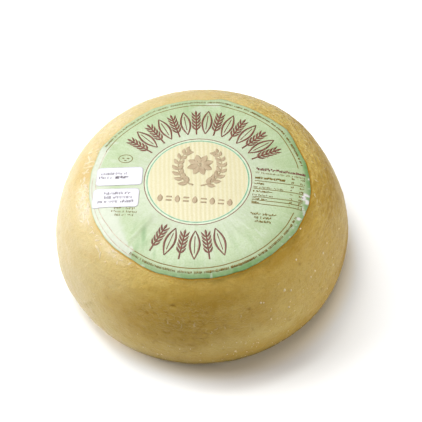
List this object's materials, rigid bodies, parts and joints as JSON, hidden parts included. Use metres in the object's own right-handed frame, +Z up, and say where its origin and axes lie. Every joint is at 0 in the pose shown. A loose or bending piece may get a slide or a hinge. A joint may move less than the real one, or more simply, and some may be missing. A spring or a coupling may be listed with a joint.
{
  "type": "pecorino",
  "caption": "Whole wheel of young pecorino with a low belly, rounded shoulder and slightly domed crown, carrying a round paper label and small white stickers.",
  "frame": {"origin": "centre of the flat base the wheel rests on", "axes": "+Z up through the crown, -Y toward the foot of the label's print, +X to its right"},
  "size_m": [0.2, 0.2, 0.0934],
  "materials": {
    "rind": "smooth waxy cheese rind, straw yellow, faintly pitted, satin with a soft oily sheen",
    "label_paper": "thin printed paper pasted on, pale green with brown line work and a cream disc, slightly wrinkled, satin",
    "sticker_paper": "smooth white self-adhesive paper with grey bars"
  },
  "bodies": {
    "root": {"cheese_wheel": "rind", "paper_label": "label_paper", "sticker_upper": "sticker_paper", "sticker_lower": "sticker_paper"}
  },
  "joints": []
}
